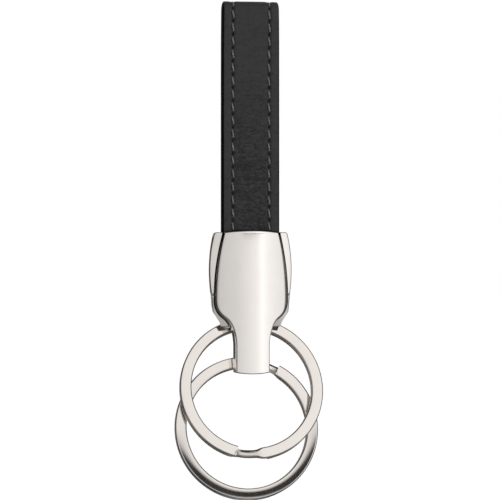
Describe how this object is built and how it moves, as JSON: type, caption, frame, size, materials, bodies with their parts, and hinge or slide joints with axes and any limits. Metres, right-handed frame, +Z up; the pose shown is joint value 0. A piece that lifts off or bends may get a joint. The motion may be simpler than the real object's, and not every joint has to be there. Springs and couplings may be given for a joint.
{
  "type": "key ring",
  "caption": "Leather-loop key fob: a folded strap clamped in a bottle-shaped nickel body, whose slotted neck carries flat split rings.",
  "frame": {"origin": "top of the leather loop, on the outside of the bend, in the middle of the strap's width and thickness", "axes": "+Z up along the hanging strap, -Y towards the front plate, +X to the viewer's right"},
  "size_m": [0.0309, 0.0123, 0.1036],
  "materials": {
    "leather": "fine-grained black leather, satin",
    "lining": "smooth black lining leather, matt",
    "thread": "waxed black thread",
    "nickel": "satin-polished nickel plating",
    "ring_nickel": "bright nickel plating on flattened wire",
    "steel": "plain steel"
  },
  "bodies": {
    "strap": {"strap_face": "leather", "strap_lining": "lining", "stitch_row_left": "thread", "stitch_row_right": "thread"},
    "fob": {"strap_end_front_face": "leather", "strap_end_front_lining": "lining", "strap_end_rear_face": "leather", "strap_end_rear_lining": "lining", "strap_frame": "nickel", "shoulder_block": "nickel", "front_plate": "nickel", "rear_plate": "nickel", "strap_rivet_left": "steel", "strap_rivet_right": "steel", "ring_bar": "steel", "cover_screw_upper_left": "steel", "cover_screw_upper_right": "steel", "cover_screw_lower_left": "steel", "cover_screw_lower_right": "steel"},
    "front_ring": {"split_ring_front": "ring_nickel"},
    "rear_ring": {"split_ring_rear": "ring_nickel"}
  },
  "joints": [
    {"name": "strap_flex", "type": "hinge", "parent": "strap", "child": "fob", "pos_m": [0, 0, -0.043], "axis": [1, 0, 0], "range_deg": [-40, 40]},
    {"name": "front_ring_swing", "type": "hinge", "parent": "fob", "child": "front_ring", "pos_m": [0, 0.00225, -0.0674], "axis": [-1, 0, 0], "range_deg": [0, 110]},
    {"name": "rear_ring_swing", "type": "hinge", "parent": "fob", "child": "rear_ring", "pos_m": [-0.0009, 0.00225, -0.0754], "axis": [-1, 0, 0], "range_deg": [-103.5, 3]}
  ]
}
